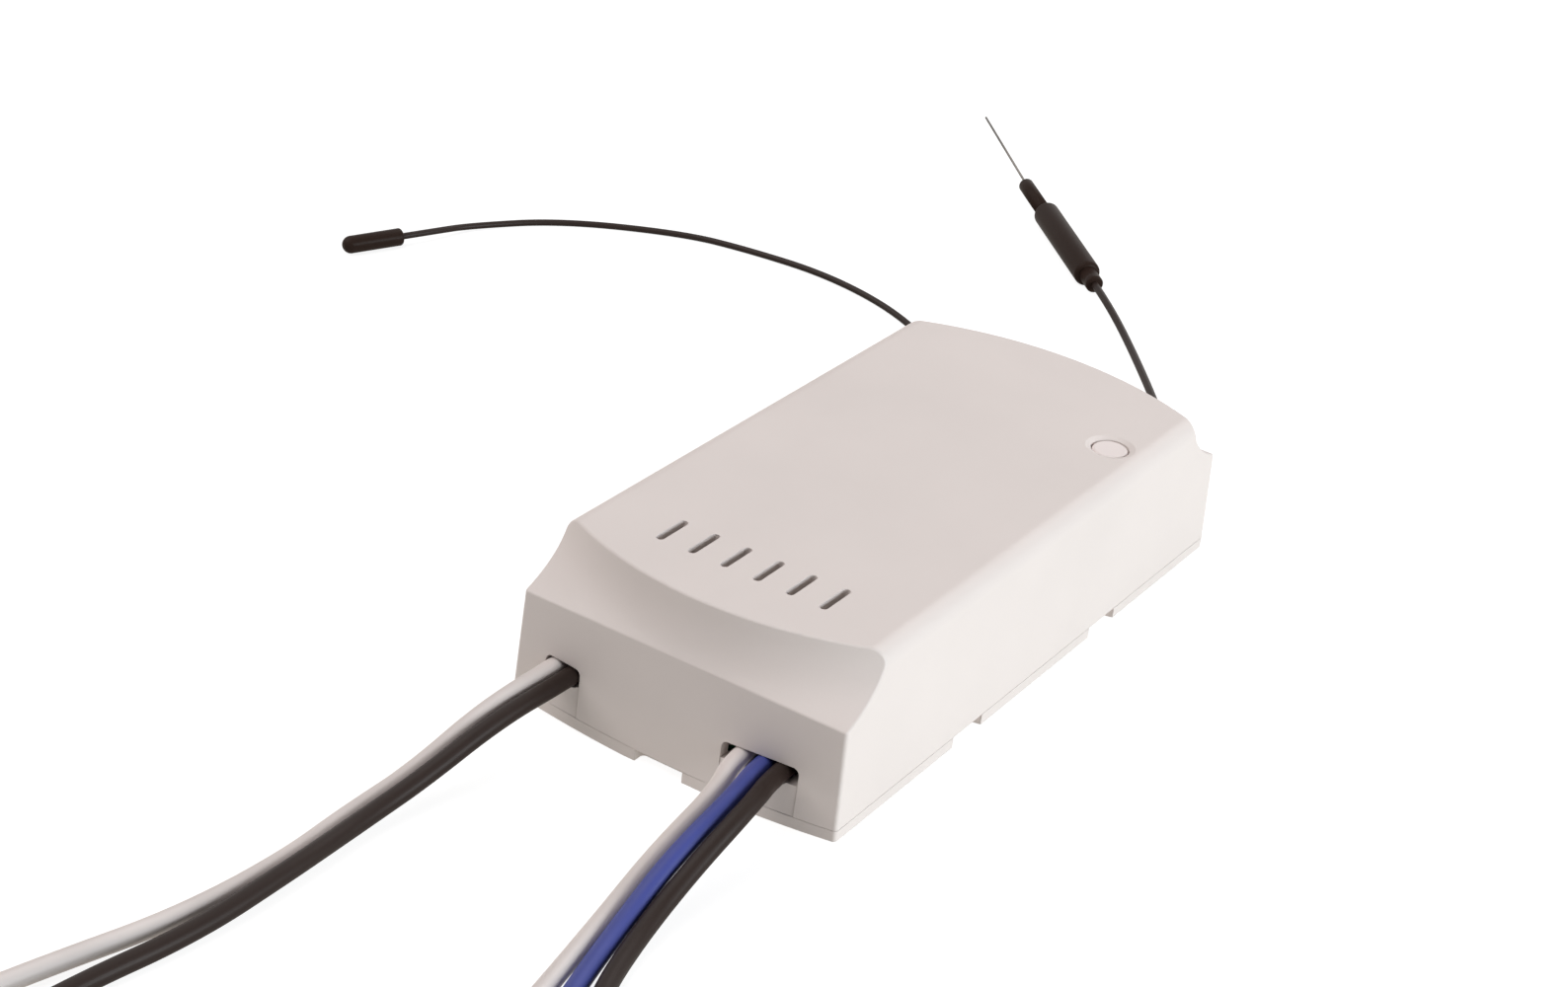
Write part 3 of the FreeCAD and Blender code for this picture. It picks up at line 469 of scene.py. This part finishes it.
class Nodes:
    """A new material's node tree, with short calls for the nodes used here."""

    def __init__(self, name):
        self.material = bpy.data.materials.new(name)
        self.material.use_nodes = True
        self.tree = self.material.node_tree
        self.shader = self.tree.nodes["Principled BSDF"]

    def add(self, kind, inputs=None, **settings):
        node = self.tree.nodes.new(kind)
        for key, value in settings.items():
            setattr(node, key, value)
        for key, value in (inputs or {}).items():
            if isinstance(value, bpy.types.NodeSocket):
                self.tree.links.new(value, node.inputs[key])
            else:
                node.inputs[key].default_value = value
        return node

    def link(self, output, key):
        self.tree.links.new(output, self.shader.inputs[key])

    def set(self, **values):
        for key, value in values.items():
            self.shader.inputs[key.replace("_", " ")].default_value = value

    def places(self):
        return self.add("ShaderNodeTexCoord").outputs["Object"]

    def noise(self, vector, scale, detail=2.0, rough=0.5):
        node = self.add("ShaderNodeTexNoise", {
            "Vector": vector, "Scale": scale, "Detail": detail, "Roughness": rough})
        return node.outputs["Fac"]

    def spread(self, value, low, high, start=0.3, end=0.7):
        """A value's middle range spread between low and high."""
        node = self.add("ShaderNodeMapRange", {
            "Value": value, "From Min": start, "From Max": end, "To Min": low, "To Max": high})
        return node.outputs["Result"]

    def between(self, factor, first, second):
        """Colour between two colours."""
        node = self.add("ShaderNodeMix", data_type="RGBA")
        self.tree.links.new(factor, node.inputs["Factor"])
        node.inputs["A"].default_value = (*first, 1.0)
        node.inputs["B"].default_value = (*second, 1.0)
        return node.outputs["Result"]

    def bump(self, height, distance, strength=1.0, before=None):
        inputs = {"Height": height, "Distance": distance, "Strength": strength}
        if before is not None:
            inputs["Normal"] = before
        return self.add("ShaderNodeBump", inputs).outputs["Normal"]

    def tones(self, factor, colour, dark, light):
        """Base colour between two shares of a colour, as the factor says."""
        self.link(self.between(factor, scaled(colour, dark), scaled(colour, light)), "Base Color")

    def gloss(self, factor, low, high):
        """Roughness between two values, over the factor's middle range."""
        self.link(self.spread(factor, low, high), "Roughness")


def scaled(colour, share):
    """A share of a colour, each part one at most."""
    return tuple(min(1.0, part * share) for part in colour)


def moulded_plastic(name, colour, rough, grain=0.0004, depth=0.00001, edge=0.0, sheen=0.4):
    """Injection moulded plastic: fine spark-eroded grain, slightly uneven gloss and tone.

    Where edge isn't nought, edges look rounded by that radius.
    """
    n = Nodes(name)
    place = n.places()
    n.tones(n.spread(n.noise(place, scale=38.0, detail=3.0), 0, 1), colour, 0.975, 1.015)
    fine = n.noise(place, scale=1 / grain, detail=3.0, rough=0.6)
    n.gloss(fine, rough - 0.05, rough + 0.05)
    before = None
    if edge:
        before = n.add("ShaderNodeBevel", {"Radius": edge}, samples=6).outputs["Normal"]
    n.link(n.bump(fine, depth, strength=0.6, before=before), "Normal")
    n.set(Specular_IOR_Level=sheen)
    return n.material


def round_coordinates(n):
    """Vector of a jacket's own map: a circle for the way round, and the length along."""
    uv = n.add("ShaderNodeUVMap", uv_map="along").outputs["UV"]
    split = n.add("ShaderNodeSeparateXYZ", {"Vector": uv})
    turn = n.add(
        "ShaderNodeMath", {0: split.outputs["X"], 1: 2 * math.pi}, operation="MULTIPLY").outputs[0]
    across = n.add("ShaderNodeMath", {0: turn}, operation="COSINE").outputs[0]
    up = n.add("ShaderNodeMath", {0: turn}, operation="SINE").outputs[0]
    vector = n.add("ShaderNodeCombineXYZ", {"X": across, "Y": up, "Z": split.outputs["Y"]})
    return vector.outputs["Vector"]


def insulation(name, colour, rough, sheen=0.15):
    """Extruded insulation: faint lines along it, and gloss that changes slowly."""
    n = Nodes(name)
    stretch = {"Vector": round_coordinates(n), "Scale": (4.0, 4.0, 9.0)}
    lines = n.add("ShaderNodeMapping", stretch).outputs["Vector"]
    streak = n.noise(lines, scale=2.4, detail=3.0, rough=0.6)
    n.tones(n.spread(n.noise(n.places(), scale=60.0, detail=3.0), 0, 1), colour, 0.93, 1.07)
    n.gloss(streak, rough - 0.06, rough + 0.06)
    fine = n.noise(n.places(), scale=5200.0)
    wavy = n.bump(streak, 0.00002, strength=0.5)
    n.link(n.bump(fine, 0.000006, strength=0.5, before=wavy), "Normal")
    n.set(Specular_IOR_Level=sheen)
    return n.material


def bare_metal(name, colour, rough, scale=900.0, depth=0.00001):
    """Plated metal with small scratches' worth of gloss variation and dull spots."""
    n = Nodes(name)
    place = n.places()
    n.tones(n.spread(n.noise(place, scale * 0.4, detail=3.0), 0, 1), colour, 0.82, 1.08)
    fine = n.noise(place, scale * 4, detail=3.0, rough=0.65)
    n.gloss(fine, rough - 0.08, rough + 0.12)
    n.link(n.bump(fine, depth, strength=0.5), "Normal")
    n.set(Metallic=1.0)
    return n.material


def solder_mask(name, colour):
    """Circuit board: tracks under a glossy mask, and tinned pads through it."""
    n = Nodes(name)
    place = n.places()
    tracks = n.add("ShaderNodeTexVoronoi", {"Vector": place, "Scale": 260.0},
                   distance="MANHATTAN", feature="F1").outputs["Distance"]
    copper = n.spread(tracks, 0, 1, start=0.46, end=0.5)
    pads = n.add("ShaderNodeTexVoronoi", {
        "Vector": place, "Scale": 330.0, "Randomness": 0.55}).outputs["Distance"]
    pad = n.spread(pads, 1, 0, start=0.16, end=0.19)
    whole = n.add("ShaderNodeMix", data_type="RGBA")
    n.tree.links.new(pad, whole.inputs["Factor"])
    n.tree.links.new(
        n.between(copper, scaled(colour, 0.8), scaled(colour, 1.35)), whole.inputs["A"])
    whole.inputs["B"].default_value = (*TIN, 1.0)
    n.link(whole.outputs["Result"], "Base Color")
    n.gloss(n.noise(place, scale=1500.0), 0.25, 0.42)
    raised = n.bump(pad, 0.00005, strength=0.6)
    n.link(n.bump(copper, 0.00003, strength=0.6, before=raised), "Normal")
    return n.material


def lacquer(name, colour, rough):
    """Dipped coating with a slight orange peel."""
    n = Nodes(name)
    place = n.places()
    n.tones(n.spread(n.noise(place, scale=150.0, detail=3.0), 0, 1), colour, 0.85, 1.12)
    n.gloss(n.noise(place, scale=420.0), rough - 0.06, rough + 0.1)
    n.link(n.bump(n.noise(place, scale=900.0), 0.00004, strength=0.6), "Normal")
    return n.material


def ferrite(name, dark, light):
    """Sintered ferrite: dark grey, matt and finely pitted."""
    n = Nodes(name)
    pits = n.noise(n.places(), scale=2600.0, detail=4.0, rough=0.7)
    n.link(n.between(n.spread(pits, 0, 1), dark, light), "Base Color")
    n.gloss(pits, 0.5, 0.75)
    n.link(n.bump(pits, 0.00003, strength=0.8), "Normal")
    return n.material


def wound(name, colour, pitch, rough, metallic, axis="Z"):
    """Turns of wire or tape lying side by side along an axis, with painted shade in the grooves
    between turns and lighter crests.

    The wave texture turns by 20 radians in each unit of its scale.
    """
    n = Nodes(name)
    place = n.places()
    bands = n.add("ShaderNodeTexWave", {
        "Vector": place, "Scale": 2 * math.pi / (20 * pitch), "Distortion": 0.3, "Detail": 1.0,
        "Detail Scale": 300.0}, wave_type="BANDS", bands_direction=axis,
        wave_profile="SIN").outputs["Fac"]
    # Painted shade: the colour falls to 0.45 of itself in the grooves between turns and rises to
    # 1.1 on their crests.
    n.tones(bands, colour, 0.45, 1.1)
    n.gloss(n.noise(place, scale=700.0), rough - 0.08, rough + 0.1)
    n.link(n.bump(bands, pitch * 0.4, strength=0.9), "Normal")
    n.set(Metallic=metallic)
    return n.material


def sleeved_can(name, colour, metal):
    """Capacitor can: a shrunk sleeve round it, and bare metal on its flat top."""
    n = Nodes(name)
    normal = n.add("ShaderNodeNewGeometry").outputs["Normal"]
    up = n.add("ShaderNodeSeparateXYZ", {"Vector": normal}).outputs["Z"]
    top = n.spread(up, 0, 1, start=0.85, end=0.9)
    peel = n.noise(n.places(), scale=600.0, detail=3.0)
    n.link(n.between(top, colour, metal), "Base Color")
    n.link(top, "Metallic")
    n.gloss(peel, 0.22, 0.36)
    n.link(n.bump(peel, 0.00003, strength=0.5), "Normal")
    return n.material


def dress(material, *nodes):
    """Gives solids of the frame a material, in all of their slots."""
    for name in nodes:
        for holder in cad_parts[name].material_slots:
            holder.material = material


def paint(piece, material):
    """Gives a new piece its material, and returns the piece."""
    piece.data.materials.append(material)
    return piece


# Operators

class FAN_OT_leads(bpy.types.Operator):
    """Makes the five insulated leads and their stripped ends."""

    bl_idname = "fan.leads"
    bl_label = "Mains leads"

    def execute(self, context):
        looks = context.scene.fan_leads
        jackets = {
            "white": insulation("white_insulation", looks.white, 0.42, sheen=0.25),
            "black": insulation("black_insulation", looks.black, 0.42),
            "blue": insulation("blue_insulation", looks.blue, 0.40, sheen=0.25),
        }
        tinned = bare_metal("tinned_strands", (0.66, 0.64, 0.60), 0.3)
        for name, colour in LEAD_COLOURS.items():
            strands = paint(make_strands(name, looks), tinned)
            lead = make_cord(
                name, LEAD_WIDTH, LEAD_SWELL, LEAD_SIDES)
            paint(lead, jackets[colour])
        return {"FINISHED"}


class FAN_OT_whip(bpy.types.Operator):
    """Makes the receiver's whip antenna and its moulded end cap.

    The cap is turned about the wire's last direction: a rounded foot, a
    straight side and a half round end whose tip is cut flat.
    """

    bl_idname = "fan.whip"
    bl_label = "Whip antenna"

    def execute(self, context):
        looks = context.scene.fan_antennas
        start, heading = end_of("whip_wire")
        half = CAP_WIDTH / 2
        profile = [(0.0, 0.0)] + arc(CAP_ROUND, half - CAP_ROUND, CAP_ROUND, 180, 90)
        profile += arc(CAP_LENGTH - half * CAP_DOME, 0.0, half, 90, 0, 17)
        profile = [(min(x, CAP_LENGTH), r) for x, r in profile[:-1]] + [(CAP_LENGTH, 0.0)]
        cap = object_from_grids("whip_cap_moulding", [turned_grid(start, heading, profile)])
        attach(cap, BODY)
        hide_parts("whip_cap")
        paint(cap, moulded_plastic(
            "cap_plastic", looks.moulding, 0.32, grain=0.0003, depth=0.000008, sheen=0.05))
        wire = make_cord(
            "whip_wire", WHIP_WIDTH, ANTENNA_SWELL, ANTENNA_SIDES)
        paint(wire, insulation("antenna_jacket", looks.jacket, 0.40))
        return {"FINISHED"}


class FAN_OT_wifi(bpy.types.Operator):
    """Makes the Wi-Fi antenna: its coaxial lead, ferrule, sleeve, neck and bare element.

    The pieces are turned about the coax's last direction, one after the other:
    a ferrule and a sleeve with rounded edges, a neck with a bore, and in the
    bore a wire that turns a little off.
    """

    bl_idname = "fan.wifi"
    bl_label = "Wi-Fi antenna"

    def execute(self, context):
        looks = context.scene.fan_antennas
        start, heading = end_of("wifi_coax")
        plastic = moulded_plastic(
            "sleeve_plastic", looks.moulding, 0.34, grain=0.0003, sheen=0.04)
        half = FERRULE_WIDTH / 2
        ferrule = [(0.0, 0.0)] + arc(FERRULE_ROUND, half - FERRULE_ROUND, FERRULE_ROUND, 180, 90)
        ferrule += [(FERRULE_LENGTH, half), (FERRULE_LENGTH, 0.0)]

        half, joint = SLEEVE_WIDTH / 2, FERRULE_LENGTH + SLEEVE_LENGTH
        reach = half - SLEEVE_ROUND
        sleeve = [(FERRULE_LENGTH, 0.0)]
        sleeve += arc(FERRULE_LENGTH + SLEEVE_ROUND, reach, SLEEVE_ROUND, 180, 90)
        sleeve += arc(joint - SLEEVE_ROUND, reach, SLEEVE_ROUND, 90, 0) + [(joint, 0.0)]

        half, bore, floor = NECK_WIDTH / 2, NECK_BORE / 2, NECK_LENGTH - SEAT_DEPTH
        neck = [(-NECK_OVERLAP, 0.0), (-NECK_OVERLAP, half)]
        neck += arc(NECK_LENGTH - NECK_ROUND, half - NECK_ROUND, NECK_ROUND, 90, 0, 5)
        neck += arc(NECK_LENGTH - BORE_ROUND, bore + BORE_ROUND, BORE_ROUND, 0, -90, 5)
        neck += [(floor, bore), (floor, 0.0)]

        aside = np.array([heading[1], -heading[0], 0.0])
        root = start + joint * heading + NECK_SHIFT * aside
        for name, place, profile in (
                ("wifi_ferrule", start, ferrule), ("wifi_sleeve", start, sleeve),
                ("wifi_neck", root, neck)):
            piece = object_from_grids(name + "_moulding", [turned_grid(place, heading, profile)])
            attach(piece, BODY)
            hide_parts(name)
            paint(piece, plastic)

        half = ELEMENT_WIDTH / 2
        rod = [(0.0, 0.0), (0.0, half)]
        rod += arc(
            ELEMENT_LENGTH - ELEMENT_ROUND, half - ELEMENT_ROUND, ELEMENT_ROUND, 90, 0, 5)
        rod += [(ELEMENT_LENGTH, 0.0)]
        seat = root + (floor + SEAT_ROOM) * heading
        turn = math.radians(ELEMENT_TURN)
        onward = math.cos(turn) * heading - math.sin(turn) * aside
        element = object_from_grids(
            "wifi_element_wire", [turned_grid(seat, onward, rod, ELEMENT_SIDES)])
        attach(element, BODY)
        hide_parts("wifi_element")
        paint(element, bare_metal("element_wire", looks.element, 0.38))
        coax = make_cord(
            "wifi_coax", COAX_WIDTH, ANTENNA_SWELL, ANTENNA_SIDES)
        paint(coax, insulation("coax_jacket", looks.jacket, 0.40))
        return {"FINISHED"}


class FAN_OT_case(bpy.types.Operator):
    """Gives the cover and the base their moulded plastic."""

    bl_idname = "fan.case"
    bl_label = "Case shells"

    def execute(self, context):
        looks = context.scene.fan_case
        dress(moulded_plastic(
            "shell_plastic", looks.shell, 0.46, looks.grain, looks.grain_depth, edge=0.00018),
            "cover", "base")
        return {"FINISHED"}


class FAN_OT_button(bpy.types.Operator):
    """Gives the button, and the switch under it, their finishes."""

    bl_idname = "fan.button"
    bl_label = "Button and switch"

    def execute(self, context):
        looks = context.scene.fan_case
        dress(moulded_plastic(
            "button_plastic", looks.button, 0.40, looks.grain, looks.grain_depth * 0.5,
            edge=0.0001), "button_cap")
        dress(moulded_plastic("switch_plastic", (0.03, 0.03, 0.033), 0.5, grain=0.0003),
              "switch_body", "switch_plunger")
        dress(bare_metal("switch_spring_steel", (0.62, 0.61, 0.59), 0.25), "switch_dome")
        return {"FINISHED"}


class FAN_OT_boards(bpy.types.Operator):
    """Gives the circuit boards and what is soldered or screwed to them their finishes."""

    bl_idname = "fan.boards"
    bl_label = "Circuit boards"

    def execute(self, context):
        looks = context.scene.fan_board
        dress(solder_mask("main_mask", looks.mask), "main_board")
        dress(solder_mask("module_mask", (0.02, 0.05, 0.2)), "wifi_module", "radio_board")
        dress(bare_metal("screw_steel", (0.58, 0.57, 0.55), 0.32), "board_screws")
        dress(bare_metal("nickel_silver", (0.68, 0.67, 0.64), 0.28),
              "wifi_shield", "radio_crystal")
        dress(bare_metal("solder", (0.70, 0.69, 0.67), 0.22, scale=500.0, depth=0.00004),
              "lead_tabs", "whip_tab")
        dress(bare_metal("gold_plate", (0.75, 0.55, 0.25), 0.25), "coax_plug")
        return {"FINISHED"}


class FAN_OT_parts(bpy.types.Operator):
    """Gives the relays, capacitors, coils and other parts on the board their finishes."""

    bl_idname = "fan.parts"
    bl_label = "Board's parts"

    def execute(self, context):
        looks = context.scene.fan_board
        dress(moulded_plastic("relay_case", looks.relay, 0.42),
              "relay_1", "relay_2", "relay_3", "relay_4")
        dress(moulded_plastic("film_capacitor_case", (0.30, 0.31, 0.32), 0.4),
              "speed_capacitor_1", "speed_capacitor_2")
        dress(moulded_plastic("line_capacitor_case", (0.72, 0.50, 0.07), 0.36), "line_capacitor")
        dress(moulded_plastic("black_epoxy", (0.028, 0.028, 0.03), 0.5, grain=0.0002),
              "bridge_rectifier", "driver_chip")
        dress(moulded_plastic("buzzer_case", (0.03, 0.03, 0.032), 0.34, depth=0.000008), "buzzer")
        dress(moulded_plastic("fuse_case", (0.09, 0.045, 0.028), 0.3, depth=0.000008), "fuse")
        dress(sleeved_can("can_sleeve", (0.03, 0.045, 0.07), (0.66, 0.66, 0.67)),
              "bulk_capacitor", "output_capacitor")
        dress(lacquer("varistor_coating", (0.05, 0.15, 0.45), 0.25), "varistor")
        dress(ferrite("ferrite_core", (0.030, 0.030, 0.033), (0.075, 0.075, 0.08)),
              "transformer_core", "choke_core")
        dress(wound("polyester_tape", (0.72, 0.52, 0.05), 0.0007, 0.3, 0.0, "Y"),
              "transformer_winding")
        dress(wound("enamelled_wire", (0.62, 0.24, 0.08), 0.00035, 0.25, 1.0), "choke_winding")
        return {"FINISHED"}


def add_lamp(name, power, colour):
    """Square area lamp facing the object. Azimuth 0 is in front of it and 90 at its right."""
    azimuth, elevation, size = LAMPS[name]
    turn, rise = math.radians(azimuth), math.radians(elevation)
    away = Vector((
        math.sin(turn) * math.cos(rise), -math.cos(turn) * math.cos(rise), math.sin(rise)))
    lamp = bpy.data.lights.new(name, "AREA")
    lamp.size = size
    lamp.energy = power
    lamp.color = colour
    holder = bpy.data.objects.new(name, lamp)
    bpy.context.scene.collection.objects.link(holder)
    facing = away.to_track_quat("Z", "Y").to_matrix().to_4x4()
    holder.matrix_world = Matrix.Translation(away * LAMP_DISTANCE) @ facing


def grey(share):
    """Opaque grey that sends back a share of the light."""
    return (share, share, share, 1.0)


def is_any(tree, kinds):
    """One for rays of the named kinds, and nought for the others."""
    path = tree.nodes.new("ShaderNodeLightPath")
    total = path.outputs[kinds[0]]
    for kind in kinds[1:]:
        node = tree.nodes.new("ShaderNodeMath")
        node.operation = "MAXIMUM"
        tree.links.new(total, node.inputs[0])
        tree.links.new(path.outputs[kind], node.inputs[1])
        total = node.outputs[0]
    return total


class FAN_OT_studio(bpy.types.Operator):
    """Sets up the camera, the lamps, the white floor and the white surroundings."""

    bl_idname = "fan.studio"
    bl_label = "Studio"

    def execute(self, context):
        looks = context.scene.fan_studio
        scene = context.scene
        scene.view_settings.view_transform = "Standard"
        camera = bpy.data.cameras.new("camera")
        camera.lens = looks.lens
        camera.sensor_width = SENSOR_WIDTH
        camera.clip_start, camera.clip_end = 0.01, 20.0
        holder = bpy.data.objects.new("camera", camera)
        scene.collection.objects.link(holder)
        back = [-part for part in CAMERA_FORWARD]
        turn = Matrix((CAMERA_RIGHT, CAMERA_UP, back)).transposed().to_4x4()
        holder.matrix_world = Matrix.Translation(CAMERA_PLACE) @ turn
        scene.camera = holder

        add_lamp("key", looks.key, looks.cool)
        add_lamp("fill", looks.fill, looks.warm)
        add_lamp("back", looks.back, looks.warm)

        side = looks.floor / 2
        corners = [(-side, -side, 0), (side, -side, 0), (side, side, 0), (-side, side, 0)]
        mesh = bpy.data.meshes.new("floor")
        mesh.from_pydata(corners, [], [(0, 1, 2, 3)])
        floor = bpy.data.objects.new("floor", mesh)
        scene.collection.objects.link(floor)
        paint(floor, self.floor_material(looks))

        world = bpy.data.worlds.new("surroundings")
        scene.world = world
        world.use_nodes = True
        tree = world.node_tree
        seen = is_any(tree, ["Is Camera Ray", "Is Glossy Ray", "Is Transmission Ray"])
        background = tree.nodes["Background"]
        background.inputs["Color"].default_value = grey(1.0)
        tree.links.new(seen, background.inputs["Strength"])
        return {"FINISHED"}

    def floor_material(self, looks):
        """Matt white floor that gives off light, seen white with the object's shadow on it.

        What is seen of its own light grows from near the object outwards.
        """
        n = Nodes("floor_white")
        n.set(Base_Color=grey(LIT_FLOOR), Roughness=0.9, Specular_IOR_Level=0.0)
        n.set(Emission_Color=(*looks.bounce, 1.0), Emission_Strength=looks.glow)
        matt = n.add("ShaderNodeBsdfDiffuse", {"Color": grey(SEEN_FLOOR)}).outputs[0]
        away = n.add("ShaderNodeVectorMath", {0: n.places()}, operation="LENGTH").outputs["Value"]
        strength = n.spread(away, *SEEN_GLOW, *SEEN_GLOW_AT)
        white = n.add("ShaderNodeEmission", {
            "Color": grey(1.0), "Strength": strength}).outputs[0]
        both = n.add("ShaderNodeAddShader", {0: matt, 1: white}).outputs[0]
        pick = n.add("ShaderNodeMixShader", {
            "Fac": is_any(n.tree, ["Is Camera Ray", "Is Transmission Ray"]),
            1: n.shader.outputs[0], 2: both}).outputs[0]
        n.tree.links.new(pick, n.tree.nodes["Material Output"].inputs["Surface"])
        return n.material


OPERATORS = (
    FAN_OT_studio, FAN_OT_leads, FAN_OT_whip, FAN_OT_wifi, FAN_OT_case, FAN_OT_button,
    FAN_OT_boards, FAN_OT_parts,
)


class FAN_PT_panel(bpy.types.Panel):
    """Lists the steps that dress the fan controller, and their sizes and colours."""

    bl_idname = "FAN_PT_panel"
    bl_label = "Fan controller"
    bl_space_type = "VIEW_3D"
    bl_region_type = "UI"
    bl_category = "Fan controller"

    def draw(self, context):
        for operator in OPERATORS:
            self.layout.operator(operator.bl_idname)
        for name, group in GROUPS.items():
            box = self.layout.box()
            for key in group.__annotations__:
                box.prop(getattr(context.scene, name), key)


def register():
    for group in GROUPS.values():
        bpy.utils.register_class(group)
    for name, group in GROUPS.items():
        setattr(bpy.types.Scene, name, PointerProperty(type=group))
    for operator in OPERATORS:
        bpy.utils.register_class(operator)
    bpy.utils.register_class(FAN_PT_panel)


def unregister():
    bpy.utils.unregister_class(FAN_PT_panel)
    for operator in reversed(OPERATORS):
        bpy.utils.unregister_class(operator)
    for name in GROUPS:
        delattr(bpy.types.Scene, name)
    for group in reversed(GROUPS.values()):
        bpy.utils.unregister_class(group)


def main():
    register()
    bpy.ops.fan.studio()
    bpy.ops.fan.leads()
    bpy.ops.fan.whip()
    bpy.ops.fan.wifi()
    bpy.ops.fan.case()
    bpy.ops.fan.button()
    bpy.ops.fan.boards()
    bpy.ops.fan.parts()


if __name__ == "__main__":
    main()
